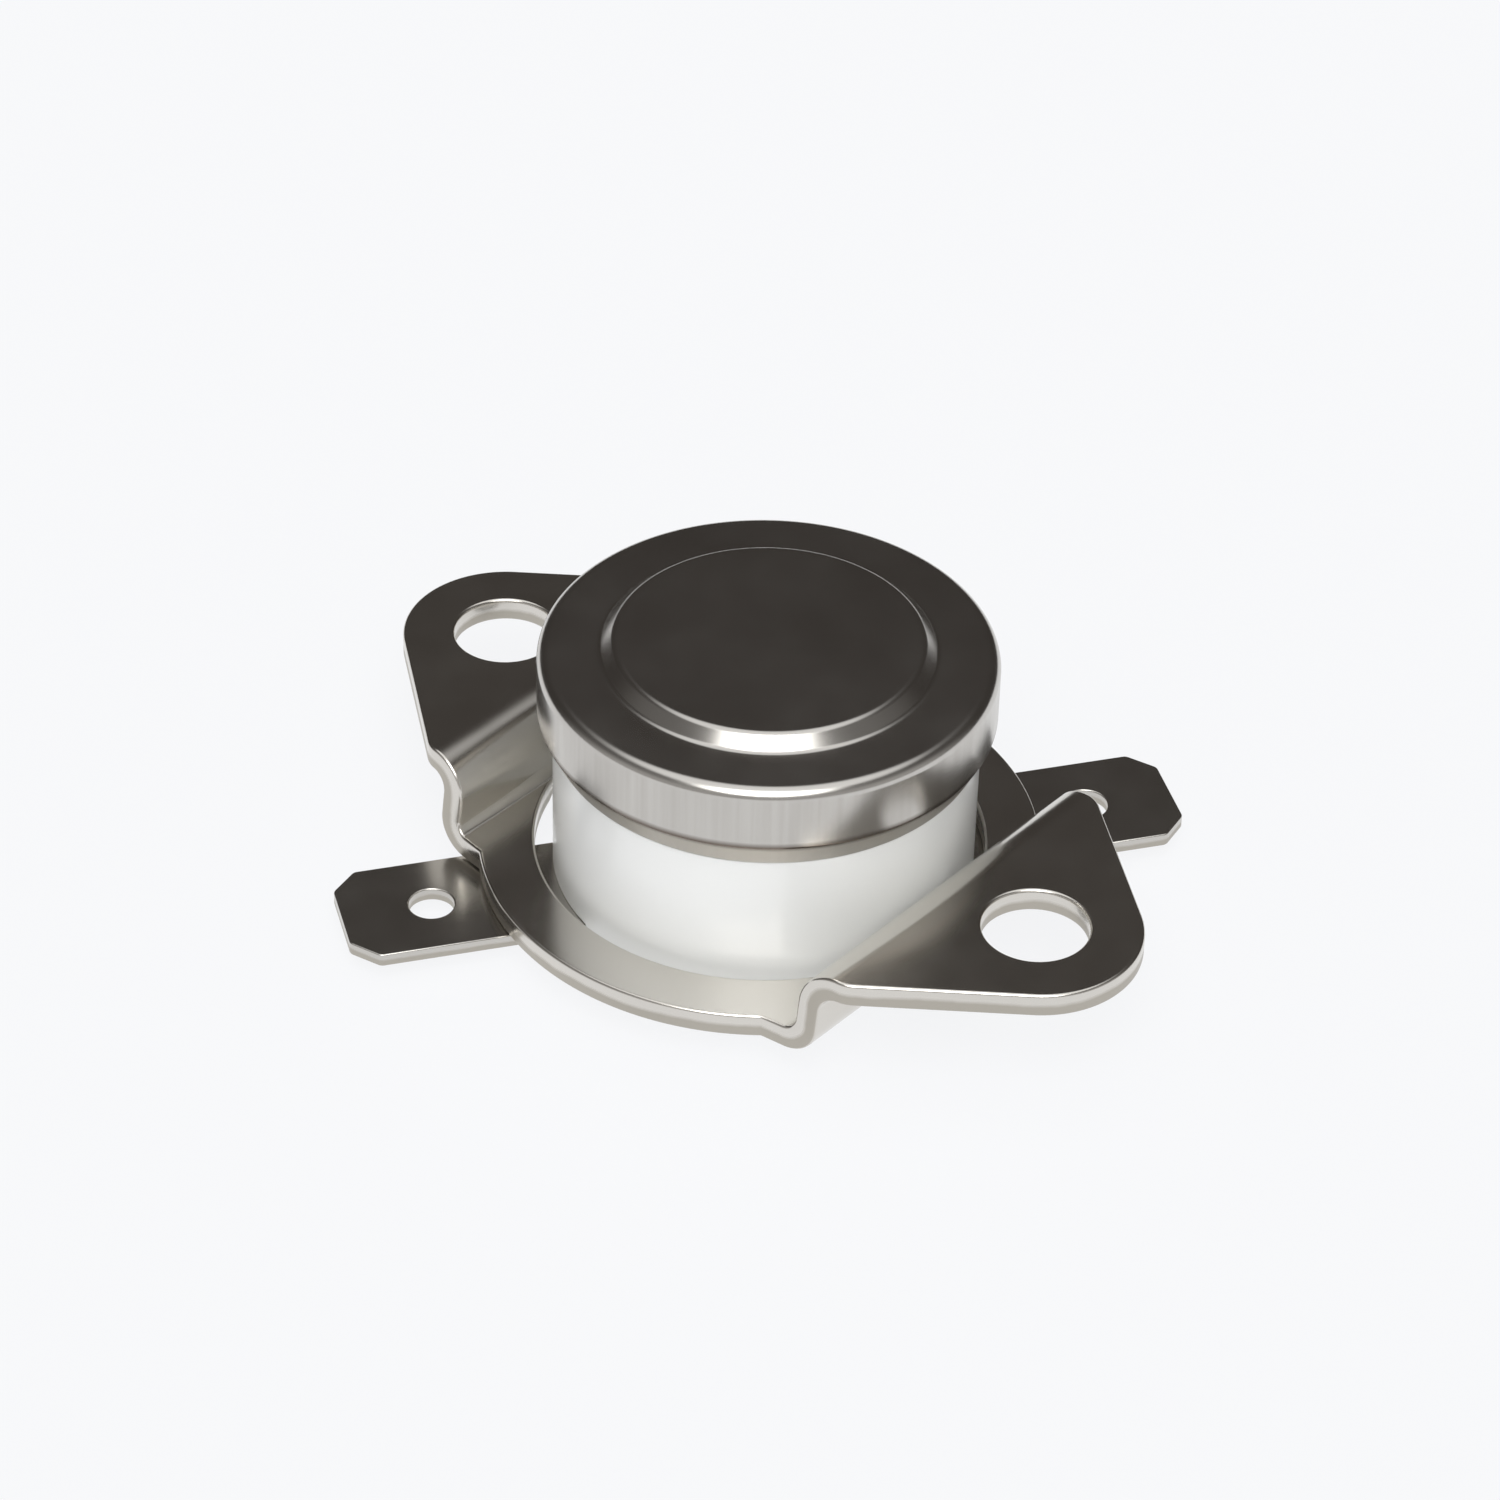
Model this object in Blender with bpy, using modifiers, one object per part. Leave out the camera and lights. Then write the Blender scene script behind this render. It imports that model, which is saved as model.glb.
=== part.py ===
"""Bimetal temperature switch for a half-inch disc, with a loose two-ear mounting bracket.

Row frame: +Z is the switch's axis and points out of the sensing face, z = 0 is the face the switch
stands on, and the two terminals lie along X. The bracket turns about the axis.
Sizes are in metres, written as millimetres times MM.
"""

import math

import bmesh
import bpy
from mathutils import Matrix, Vector

MM = 0.001

# Clearance between pieces that touch on the real switch
GAP = 0.05 * MM

# Terminals
TAB_WIDTH = 4.70 * MM
TAB_T = 0.50 * MM
TAB_Z = 0.80 * MM
TAB_TOP = TAB_Z + TAB_T
TAB_CORNER = 0.90 * MM
TAB_REACH = 7.75 * MM
TAB_HOLE_TO_TIP = 3.20 * MM
TAB_HOLE_R = 0.80 * MM
TAB_BEHIND_RIVET = 1.40 * MM
FLOOR_OVER_TABS = 1.30 * MM
FLOOR_TOP = TAB_TOP + FLOOR_OVER_TABS

# Transfer pin
PIN_R = 0.90 * MM
PIN_CHAMFER = 0.15 * MM

# Contacts
CONTACT_R = 0.80 * MM
CONTACT_CROWN = 0.12 * MM
CONTACT_TO_PIN = 0.40 * MM
MOVING_H = 0.55 * MM
FIXED_H = 0.45 * MM
CONTACT_X = PIN_R + CONTACT_TO_PIN + CONTACT_R

# Terminal rivets
RIVET_R = 0.80 * MM
RIVET_HOLE_R = RIVET_R + GAP
RIVET_LOW_R = 1.50 * MM
RIVET_LOW_H = 0.50 * MM
RIVET_TOP_R = 1.00 * MM
RIVET_TOP_H = 0.50 * MM
RIVET_LOW_ROUND = 0.30 * MM
RIVET_TOP_ROUND = 0.25 * MM
RIVET_HEAD_EDGE = 0.10 * MM
RIVET_TO_CONTACT = 0.50 * MM
RIVET_X = CONTACT_X + CONTACT_R + RIVET_TO_CONTACT + RIVET_TOP_R

# Sheet of the strip that carries the fixed contact, and where it turns up beside its rivet
STRIP_T = 0.40 * MM
STRIP_BEND = 0.50 * MM
STRIP_TO_HEAD = 0.50 * MM
STRIP_FROM_WALL = 0.50 * MM
STRIP_WALL_X = RIVET_X + RIVET_TOP_R + STRIP_TO_HEAD

# Ceramic body
BODY_CHAMFER = 0.35 * MM
BODY_WALL = 1.05 * MM
FLANGE_STEP = 0.25 * MM
FLANGE_CHAMFER = 0.10 * MM
CAVITY_DEPTH = 6.35 * MM
CAVITY_R = STRIP_WALL_X + STRIP_FROM_WALL
BODY_R = CAVITY_R + BODY_WALL
FLANGE_R = BODY_R + FLANGE_STEP
BODY_TOP = FLOOR_TOP + CAVITY_DEPTH

# Where each terminal ends, from the rivet and the body
TAB_INNER_X = RIVET_X - TAB_BEHIND_RIVET
TAB_TIP_X = BODY_R + TAB_REACH
TAB_HOLE_X = TAB_TIP_X - TAB_HOLE_TO_TIP
CHANNEL_START = TAB_INNER_X - 2 * GAP

# Drawn metal cap
CAP_T = 0.25 * MM
CAP_R = FLANGE_R + GAP + CAP_T
CAP_GRIP = 2.00 * MM
CAP_LIP = BODY_TOP - CAP_GRIP
CAP_CORNER = 0.45 * MM
CRIMP_H = 1.00 * MM
CRIMP_IN = 0.50 * MM
CRIMP_ROUND = 0.30 * MM
CRIMP_LEAN = math.atan(CRIMP_IN / CRIMP_H)
CRIMP_Z = CAP_LIP + CRIMP_H
PLATEAU_H = 0.50 * MM
PLATEAU_R = 5.35 * MM
PLATEAU_SLOPE = 0.50 * MM
PLATEAU_FOOT_R = PLATEAU_R + PLATEAU_SLOPE
PLATEAU_ROUND = 0.35 * MM
PLATEAU_FILLET = 0.30 * MM

# Cone and neck of the ceramic that the cap is crimped on to
CONE_Z = CRIMP_Z + (CAP_T + GAP) * math.tan(CRIMP_LEAN / 2)
NECK_Z = CAP_LIP + CAP_T * math.sin(CRIMP_LEAN)
NECK_R = FLANGE_R - (CONE_Z - NECK_Z) * math.tan(CRIMP_LEAN)
NECK_LOW_Z = CAP_LIP - GAP
NECK_CHAMFER = 0.05 * MM

# Guide plate and bimetal disc
GUIDE_T = 0.70 * MM
GUIDE_RIM_H = 0.30 * MM
GUIDE_RIM_WIDTH = 1.15 * MM
GUIDE_Z = BODY_TOP + GAP
GUIDE_R = FLANGE_R - GAP
GUIDE_SEAT_Z = GUIDE_Z + GUIDE_T
GUIDE_TOP = GUIDE_SEAT_Z + GUIDE_RIM_H
CAP_FACE = GUIDE_TOP + GAP + CAP_T
DISC_PLAY = 0.15 * MM
DISC_T = 0.20 * MM
DISC_DISH = 0.20 * MM
DISC_SEAT_R = GUIDE_R - GUIDE_RIM_WIDTH
DISC_R = DISC_SEAT_R - DISC_PLAY
DISC_Z = GUIDE_SEAT_Z + GAP

# Bracket: flat ring, two risers, two ears
SHEET_T = 0.90 * MM
BRACKET_PLAY = 0.50 * MM
RING_WIDTH = 1.98 * MM
RISER_CLEAR = 0.35 * MM
RISER_HALF = 6.80 * MM
RISE = 2.70 * MM
BEND_LOW = 0.40 * MM
BEND_HIGH = 0.60 * MM
EAR_LEDGE = 0.90 * MM
EAR_REACH = 2.70 * MM
EAR_TIP_R = 3.70 * MM
EAR_HOLE_R = 1.85 * MM
EAR_CORNER_R = 1.20 * MM
BRACKET_TURN = math.radians(-56.2)
BRACKET_SLIDE = -0.15 * MM
RING_HOLE_R = BODY_R + BRACKET_PLAY
RING_R = RING_HOLE_R + RING_WIDTH
RISER_IN = BODY_R + RISER_CLEAR
EAR_START = RISER_IN + SHEET_T + EAR_LEDGE
EAR_X = EAR_START + EAR_REACH
RING_Z = TAB_TOP + GAP
RING_TOP = RING_Z + SHEET_T
EAR_TOP = RING_TOP + RISE

# Spring arm under the pin
ARM_T = 0.20 * MM
ARM_WIDTH = 2.60 * MM
ARM_LIFT = 0.60 * MM
ARM_RUN = 1.00 * MM
ARM_BEND = 0.40 * MM
ARM_PAST_RIVET = 1.00 * MM
ARM_PAST_CONTACT = 0.85 * MM
ARM_ROOT_Z = FLOOR_TOP + GAP
ARM_Z = ARM_ROOT_Z + ARM_LIFT
ARM_ROOT_END = -STRIP_WALL_X
ARM_PIVOT_X = ARM_PAST_RIVET - RIVET_X
ARM_FLAT_X = ARM_PIVOT_X + ARM_RUN
ARM_TIP_X = CONTACT_X + ARM_PAST_CONTACT
PIN_Z = ARM_Z + ARM_T + GAP
PIN_TOP = DISC_Z + DISC_DISH - GAP

# Ends and levels of that strip
STRIP_BEHIND_RIVET = 1.25 * MM
STRIP_PAST_CONTACT = 0.90 * MM
STRIP_START = RIVET_X - STRIP_BEHIND_RIVET
STRIP_END = CONTACT_X - STRIP_PAST_CONTACT
MOVING_Z = ARM_Z + ARM_T + GAP
FIXED_Z = MOVING_Z + MOVING_H + GAP
STRIP_HIGH_Z = FIXED_Z + FIXED_H + GAP

# Facets of a full turn
SEG_BIG = 72
SEG_MID = 48
SEG_SMALL = 24

# Rounding of blanked edges, and how far a cutter runs past what it cuts
EDGE = 0.05 * MM
PAST = 1.00 * MM


def clear_scene():
    for obj in list(bpy.data.objects):
        bpy.data.objects.remove(obj, do_unlink=True)
    for collection in list(bpy.data.collections):
        bpy.data.collections.remove(collection)
    for mesh in list(bpy.data.meshes):
        bpy.data.meshes.remove(mesh)
    for material in list(bpy.data.materials):
        bpy.data.materials.remove(material)


clear_scene()
SWITCH = bpy.data.collections.new("Bimetal temperature switch")
CUTTERS = bpy.data.collections.new("Cutters")
bpy.context.scene.collection.children.link(SWITCH)
bpy.context.scene.collection.children.link(CUTTERS)


def material(name, color, metallic, roughness):
    mat = bpy.data.materials.new(name)
    mat.use_nodes = True
    shader = mat.node_tree.nodes["Principled BSDF"]
    shader.inputs["Base Color"].default_value = (*color, 1.0)
    shader.inputs["Metallic"].default_value = metallic
    shader.inputs["Roughness"].default_value = roughness
    mat.diffuse_color = (*color, 1.0)
    return mat


NICKEL_CAP = material("nickel_cap", (0.62, 0.60, 0.57), 1.0, 0.18)
NICKEL_BRACKET = material("nickel_bracket", (0.60, 0.58, 0.55), 1.0, 0.2)
GLAZED = material("glazed_ceramic", (0.86, 0.87, 0.84), 0.0, 0.2)
PHENOLIC = material("phenolic_plate", (0.12, 0.08, 0.06), 0.0, 0.5)
PIN_CERAMIC = material("pin_ceramic", (0.85, 0.83, 0.78), 0.0, 0.5)
BIMETAL = material("bimetal", (0.55, 0.53, 0.50), 1.0, 0.35)
SPRING_COPPER = material("spring_copper", (0.72, 0.45, 0.30), 1.0, 0.3)
STRIP_BRASS = material("strip_brass", (0.72, 0.57, 0.32), 1.0, 0.3)
SILVER = material("contact_silver", (0.80, 0.80, 0.78), 1.0, 0.3)
TIN_LEFT = material("plated_terminal_left", (0.60, 0.58, 0.55), 1.0, 0.22)
TIN_RIGHT = material("plated_terminal_right", (0.60, 0.58, 0.55), 1.0, 0.22)
RIVET_METAL = material("rivet_metal", (0.58, 0.57, 0.55), 1.0, 0.3)


def link(mesh, name, mat=None, collection=SWITCH):
    obj = bpy.data.objects.new(name, mesh)
    collection.objects.link(obj)
    if mat:
        mesh.materials.append(mat)
    return obj


def smooth(obj, angle=32.0):
    """Smooth shading with the edges sharper than angle kept sharp."""
    obj.data.shade_smooth()
    obj.data.set_sharp_from_angle(angle=math.radians(angle))


def baked(obj, angle=32.0):
    """Turn the modifiers into plain mesh, so that shading can follow the finished edges."""
    bpy.context.view_layer.update()
    graph = bpy.context.evaluated_depsgraph_get()
    mesh = bpy.data.meshes.new_from_object(obj.evaluated_get(graph), depsgraph=graph)
    mesh.name = obj.name
    obj.modifiers.clear()
    obj.data = mesh
    smooth(obj, angle)
    return obj


def rounded(points, radii, steps):
    """Polyline through points, with an arc of the given radius in place of each inner corner."""
    out = [points[0]]
    for i in range(1, len(points) - 1):
        corner = Vector(points[i])
        radius = radii[i - 1]
        back = (Vector(points[i - 1]) - corner).normalized()
        ahead = (Vector(points[i + 1]) - corner).normalized()
        half = back.angle(ahead) / 2
        if radius <= 0 or half > math.pi / 2 - 1e-4:
            out.append(tuple(corner))
            continue
        centre = corner + (back + ahead).normalized() * (radius / math.sin(half))
        first = corner + back * (radius / math.tan(half)) - centre
        last = corner + ahead * (radius / math.tan(half)) - centre
        sweep = first.angle_signed(last)
        for k in range(steps + 1):
            turned = Matrix.Rotation(-sweep * k / steps, 2) @ first
            out.append(tuple(centre + turned))
    if (Vector(points[-1]) - Vector(out[-1])).length > 1e-6:
        out.append(points[-1])
    return out


def revolve(name, profile, mat, segments, centre_x=0.0, hollow=False):
    """Solid of revolution. The profile runs down its outer side, from axis to axis unless it is hollow."""
    mesh = bpy.data.meshes.new(name)
    edges = [(i, i + 1) for i in range(len(profile) - 1)]
    if hollow:
        edges.append((len(profile) - 1, 0))
    mesh.from_pydata([(x, 0, z) for x, z in profile], edges, [])
    obj = link(mesh, name, mat)
    obj.location.x = centre_x
    turn = obj.modifiers.new("Turn", "SCREW")
    turn.axis = "Z"
    turn.steps = segments
    turn.render_steps = segments
    turn.use_merge_vertices = True
    turn.merge_threshold = 1e-6
    turn.use_smooth_shade = True
    return obj


def plate(name, outline, z, thickness, mat=None, collection=SWITCH, holes=()):
    """Flat piece with the outline in plan, from z up: a filled curve, made a mesh so that it can be cut."""
    curve = bpy.data.curves.new(name, "CURVE")
    curve.dimensions = "2D"
    curve.fill_mode = "BOTH"
    curve.extrude = thickness / 2
    for loop in (outline, *holes):
        spline = curve.splines.new("POLY")
        spline.points.add(len(loop) - 1)
        for point, (x, y) in zip(spline.points, loop):
            point.co = (x, y, 0, 1)
        spline.use_cyclic_u = True
    drawn = bpy.data.objects.new(name + "_outline", curve)
    bpy.context.scene.collection.objects.link(drawn)
    bpy.context.view_layer.update()
    graph = bpy.context.evaluated_depsgraph_get()
    mesh = bpy.data.meshes.new_from_object(drawn.evaluated_get(graph), depsgraph=graph)
    bpy.data.objects.remove(drawn, do_unlink=True)
    shell = bmesh.new()
    shell.from_mesh(mesh)
    bmesh.ops.remove_doubles(shell, verts=shell.verts, dist=1e-6)
    bmesh.ops.dissolve_limit(shell, angle_limit=math.radians(1), verts=shell.verts, edges=shell.edges)
    shell.to_mesh(mesh)
    shell.free()
    mesh.name = name
    obj = link(mesh, name, mat, collection)
    obj.location.z = z + thickness / 2
    return obj


def folded(name, path, width, thickness, mat, facing=0.0):
    """Strip of sheet folded along path (x, z of its middle), width across it."""
    mesh = bpy.data.meshes.new(name)
    verts = [(x, -width / 2, z) for x, z in path] + [(x, width / 2, z) for x, z in path]
    n = len(path)
    mesh.from_pydata(verts, [], [(i, i + 1, n + i + 1, n + i) for i in range(n - 1)])
    obj = link(mesh, name, mat)
    sheet = obj.modifiers.new("Sheet", "SOLIDIFY")
    sheet.thickness = thickness
    sheet.offset = facing
    sheet.use_even_offset = True
    return obj


def circle(radius, segments, centre=(0.0, 0.0)):
    turns = [2 * math.pi * (k + 0.3) / segments for k in range(segments)]
    return [(centre[0] + radius * math.cos(a), centre[1] + radius * math.sin(a)) for a in turns]


def cutter(name, outline, z0, z1):
    obj = plate("cut_" + name, outline, z0, z1 - z0, None, CUTTERS)
    obj.hide_render = True
    obj.display_type = "WIRE"
    return obj


def boolean(obj, tool, operation="DIFFERENCE"):
    mod = obj.modifiers.new("Cut " + tool.name, "BOOLEAN")
    mod.operation = operation
    mod.solver = "EXACT"
    mod.object = tool
    return mod


def soft_edges(obj, width=EDGE, angle=40.0):
    bevel = obj.modifiers.new("Edges", "BEVEL")
    bevel.width = width
    bevel.segments = 2
    bevel.limit_method = "ANGLE"
    bevel.angle_limit = math.radians(angle)
    bevel.use_clamp_overlap = True
    return bevel


def rectangle(x0, x1, half):
    return [(x0, -half), (x1, -half), (x1, half), (x0, half)]


def build_body():
    profile = [
        (0, FLOOR_TOP),
        (CAVITY_R, FLOOR_TOP),
        (CAVITY_R, BODY_TOP),
        (FLANGE_R - FLANGE_CHAMFER, BODY_TOP),
        (FLANGE_R, BODY_TOP - FLANGE_CHAMFER),
        (FLANGE_R, CONE_Z),
        (NECK_R, NECK_Z),
        (NECK_R, NECK_LOW_Z),
        (BODY_R - NECK_CHAMFER, NECK_LOW_Z),
        (BODY_R, NECK_LOW_Z - NECK_CHAMFER),
        (BODY_R, BODY_CHAMFER),
        (BODY_R - BODY_CHAMFER * 0.3, BODY_CHAMFER * 0.3),
        (BODY_R - BODY_CHAMFER, 0),
        (0, 0),
    ]
    body = revolve("ceramic_body", profile, GLAZED, SEG_BIG)
    channel_half = TAB_WIDTH / 2 + GAP
    for side, label in ((-1, "left"), (1, "right")):
        ends = sorted((side * CHANNEL_START, side * (BODY_R + PAST)))
        boolean(body, cutter("channel_" + label, rectangle(*ends, channel_half), -PAST, TAB_TOP + GAP))
        hole = circle(RIVET_HOLE_R, SEG_SMALL, (side * RIVET_X, 0))
        boolean(body, cutter("rivet_way_" + label, hole, TAB_Z, FLOOR_TOP + PAST))
    return baked(body)


def build_terminal(name, side, mat):
    corner = TAB_CORNER
    half = TAB_WIDTH / 2
    tip = TAB_TIP_X
    outline = [
        (TAB_INNER_X, -half), (tip - corner, -half), (tip, -half + corner),
        (tip, half - corner), (tip - corner, half), (TAB_INNER_X, half),
    ]
    if side < 0:
        outline = [(-x, -y) for x, y in outline]
    tab = plate(name, outline, TAB_Z, TAB_T, mat)
    low, high = TAB_Z - PAST, TAB_TOP + PAST
    boolean(tab, cutter(name + "_hole", circle(TAB_HOLE_R, SEG_SMALL, (side * TAB_HOLE_X, 0)), low, high))
    boolean(tab, cutter(name + "_rivet", circle(RIVET_HOLE_R, SEG_SMALL, (side * RIVET_X, 0)), low, high))
    soft_edges(tab)
    return baked(tab)


def build_rivet(name, side, strip_top):
    low = TAB_Z - GAP
    head = strip_top + GAP
    profile = rounded(
        [(0, head + RIVET_TOP_H), (RIVET_TOP_R, head + RIVET_TOP_H), (RIVET_TOP_R, head), (RIVET_R, head),
         (RIVET_R, low), (RIVET_LOW_R, low), (RIVET_LOW_R, low - RIVET_LOW_H), (0, low - RIVET_LOW_H)],
        [RIVET_TOP_ROUND, 0, 0, 0, RIVET_HEAD_EDGE, RIVET_LOW_ROUND], 4)
    return baked(revolve(name, profile, RIVET_METAL, SEG_SMALL, side * RIVET_X))


def fold_stations():
    """Developed lengths from the axis: start and end of the lower bend, then of the upper bend."""
    low_turn = (BEND_LOW + SHEET_T / 2) * math.pi / 2
    high_turn = (BEND_HIGH + SHEET_T / 2) * math.pi / 2
    upright = RISE - BEND_LOW - BEND_HIGH - SHEET_T
    low_start = RISER_IN - BEND_LOW
    low_end = low_start + low_turn
    high_start = low_end + upright
    return low_start, low_end, high_start, high_start + high_turn


def fold_point(s, h):
    """Place (x, z) of a point of the blank: s along its middle plane from the axis, h above that plane."""
    low_start, low_end, high_start, high_end = fold_stations()
    low_r = BEND_LOW + SHEET_T / 2
    high_r = BEND_HIGH + SHEET_T / 2
    low_z = RING_Z + SHEET_T / 2
    high_z = EAR_TOP - SHEET_T / 2
    if s <= low_start:
        return s, low_z + h
    if s < low_end:
        turn = (s - low_start) / low_r
        return low_start + (low_r - h) * math.sin(turn), low_z + low_r - (low_r - h) * math.cos(turn)
    wall = low_start + low_r
    if s <= high_start:
        return wall - h, low_z + low_r + s - low_end
    if s < high_end:
        turn = (s - high_start) / high_r
        return wall + high_r - (high_r + h) * math.cos(turn), high_z - high_r + (high_r + h) * math.sin(turn)
    return wall + high_r + s - high_end, high_z + h


def ear_centre():
    """Developed length from the axis to the middle of an ear's hole."""
    high_end = fold_stations()[3]
    return EAR_X + high_end - fold_point(high_end, 0)[0]


def blank_outline():
    """Outline of the bracket's flat blank: a ring, and on each side a wide strip that ends in a round tip."""
    reach = math.sqrt(RING_R ** 2 - RISER_HALF ** 2)
    centre = ear_centre()
    corner = Vector((centre - EAR_REACH, RISER_HALF))
    to_tip = Vector((centre, 0)) - corner
    lean = math.atan2(to_tip.y, to_tip.x) + math.asin(EAR_TIP_R / to_tip.length)
    run = math.sqrt(to_tip.length ** 2 - EAR_TIP_R ** 2)
    touch = corner + Vector((math.cos(lean), math.sin(lean))) * run
    shoulder = rounded([(reach, RISER_HALF), tuple(corner), tuple(touch)], [EAR_CORNER_R], 8)
    start = math.atan2(touch.y, touch.x - centre)
    steps = 28
    tip = [(centre + EAR_TIP_R * math.cos(start * (1 - 2 * k / steps)),
            EAR_TIP_R * math.sin(start * (1 - 2 * k / steps))) for k in range(1, steps)]
    right = shoulder + tip + [(x, -y) for x, y in reversed(shoulder)]
    right.reverse()
    spread = math.atan2(RISER_HALF, reach)
    arc_steps = 30
    arc = [(RING_R * math.cos(spread + (math.pi - 2 * spread) * k / arc_steps),
            RING_R * math.sin(spread + (math.pi - 2 * spread) * k / arc_steps)) for k in range(1, arc_steps)]
    left = [(-x, -y) for x, y in right]
    return right + arc + left + [(-x, -y) for x, y in arc]


def fold(blank):
    """Score the blank across at every step of its bends, then lay each point on the folded form."""
    low_start, low_end, high_start, high_end = fold_stations()
    bend_steps = 10
    scores = []
    for start, end in ((low_start, low_end), (high_start, high_end)):
        scores += [start + (end - start) * k / bend_steps for k in range(bend_steps + 1)]
    shell = bmesh.new()
    shell.from_mesh(blank.data)
    bmesh.ops.triangulate(shell, faces=shell.faces[:])
    for side in (-1, 1):
        for s in scores:
            parts = shell.verts[:] + shell.edges[:] + shell.faces[:]
            bmesh.ops.bisect_plane(shell, geom=parts, dist=1e-6, plane_co=(side * s, 0, 0), plane_no=(1, 0, 0))
    for vert in shell.verts:
        x, z = fold_point(abs(vert.co.x), vert.co.z)
        vert.co.x = math.copysign(x, vert.co.x)
        vert.co.z = z
    shell.to_mesh(blank.data)
    shell.free()


def build_bracket():
    """Blank with its three holes, folded up at both sides into a ring with two raised ears."""
    holes = [circle(RING_HOLE_R, SEG_BIG)]
    holes += [circle(EAR_HOLE_R, SEG_MID, (side * ear_centre(), 0)) for side in (-1, 1)]
    blank = plate("bracket", blank_outline(), -SHEET_T / 2, SHEET_T, NICKEL_BRACKET, SWITCH, holes)
    fold(blank)
    smooth(blank)
    blank.rotation_euler.z = BRACKET_TURN
    blank.location.x = BRACKET_SLIDE


def build_cap():
    outer = rounded(
        [(0, CAP_FACE + PLATEAU_H), (PLATEAU_R, CAP_FACE + PLATEAU_H), (PLATEAU_FOOT_R, CAP_FACE),
         (CAP_R, CAP_FACE), (CAP_R, CRIMP_Z), (CAP_R - CRIMP_IN, CAP_LIP)],
        [PLATEAU_ROUND, PLATEAU_FILLET, CAP_CORNER, CRIMP_ROUND], 4)
    cap = revolve("cap", outer, NICKEL_CAP, SEG_BIG)
    sheet = cap.modifiers.new("Sheet", "SOLIDIFY")
    sheet.thickness = CAP_T
    sheet.offset = -1.0
    sheet.use_even_offset = True
    return baked(cap, 40.0)


def build_guide_plate():
    hole = PIN_R + GAP
    profile = [
        (hole, GUIDE_SEAT_Z), (DISC_SEAT_R, GUIDE_SEAT_Z), (DISC_SEAT_R, GUIDE_TOP),
        (GUIDE_R, GUIDE_TOP), (GUIDE_R, GUIDE_Z), (hole, GUIDE_Z),
    ]
    return baked(revolve("guide_plate", profile, PHENOLIC, SEG_MID, hollow=True))


def build_disc():
    steps = 5
    radii = [DISC_R * k / steps for k in range(steps + 1)]
    dome = [(r, DISC_Z + DISC_DISH * (1 - (r / DISC_R) ** 2)) for r in radii]
    profile = [(r, z + DISC_T) for r, z in dome] + list(reversed(dome))
    return baked(revolve("bimetal_disc", profile, BIMETAL, SEG_MID))


def build_pin():
    profile = [
        (0, PIN_TOP), (PIN_R - PIN_CHAMFER, PIN_TOP), (PIN_R, PIN_TOP - PIN_CHAMFER),
        (PIN_R, PIN_Z + PIN_CHAMFER), (PIN_R - PIN_CHAMFER, PIN_Z), (0, PIN_Z),
    ]
    return baked(revolve("transfer_pin", profile, PIN_CERAMIC, SEG_SMALL))


def build_arm():
    half = ARM_T / 2
    path = rounded(
        [(ARM_ROOT_END, ARM_ROOT_Z + half), (ARM_PIVOT_X, ARM_ROOT_Z + half),
         (ARM_FLAT_X, ARM_Z + half), (ARM_TIP_X, ARM_Z + half)], [ARM_BEND, ARM_BEND], 5)
    arm = folded("contact_arm", path, ARM_WIDTH, ARM_T, SPRING_COPPER)
    hole = circle(RIVET_HOLE_R, SEG_SMALL, (-RIVET_X, 0))
    boolean(arm, cutter("arm_rivet", hole, FLOOR_TOP - PAST, ARM_ROOT_Z + ARM_T + GAP))
    return baked(arm)


def build_strip():
    half = STRIP_T / 2
    low, high = ARM_ROOT_Z + half, STRIP_HIGH_Z + half
    path = rounded(
        [(STRIP_START, low), (STRIP_WALL_X, low), (STRIP_WALL_X, high), (STRIP_END, high)],
        [STRIP_BEND, STRIP_BEND], 6)
    strip = folded("contact_strip", path, ARM_WIDTH, STRIP_T, STRIP_BRASS)
    hole = circle(RIVET_HOLE_R, SEG_SMALL, (RIVET_X, 0))
    boolean(strip, cutter("strip_rivet", hole, FLOOR_TOP - PAST, ARM_ROOT_Z + STRIP_T + GAP))
    return baked(strip)


def build_contact(name, z, height, dome_up):
    """Silver button with one slightly domed face."""
    crown = CONTACT_CROWN
    if dome_up:
        profile = [
            (0, z + height), (CONTACT_R * 0.6, z + height - crown * 0.3), (CONTACT_R, z + height - crown),
            (CONTACT_R, z), (0, z),
        ]
    else:
        profile = [
            (0, z + height), (CONTACT_R, z + height), (CONTACT_R, z + crown),
            (CONTACT_R * 0.6, z + crown * 0.3), (0, z),
        ]
    return baked(revolve(name, profile, SILVER, SEG_SMALL, CONTACT_X))


def hang_on_pivot(obj):
    """Parent the contact to an empty on the axis that the arm bends about."""
    pivot = bpy.data.objects.new("contact_pivot", None)
    SWITCH.objects.link(pivot)
    pivot.location = (ARM_PIVOT_X, 0, ARM_ROOT_Z + ARM_T / 2)
    pivot.empty_display_size = MM
    obj.parent = pivot
    obj.location = Vector(obj.location) - pivot.location


def build_switch():
    build_body()
    build_cap()
    build_guide_plate()
    build_disc()
    build_pin()
    build_arm()
    build_strip()
    hang_on_pivot(build_contact("moving_contact", MOVING_Z, MOVING_H, True))
    build_contact("fixed_contact", FIXED_Z, FIXED_H, False)
    build_terminal("terminal_left", -1, TIN_LEFT)
    build_terminal("terminal_right", 1, TIN_RIGHT)
    build_rivet("rivet_left", -1, ARM_ROOT_Z + ARM_T)
    build_rivet("rivet_right", 1, ARM_ROOT_Z + STRIP_T)
    build_bracket()


build_switch()
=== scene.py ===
"""Looks of a half-inch bimetal temperature switch: bright nickel cap, white glazed ceramic body,
flat plated tabs and a loose mounting bracket, on a plain pale floor."""

import math

import bmesh
import bpy
from mathutils import Matrix, Vector


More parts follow.
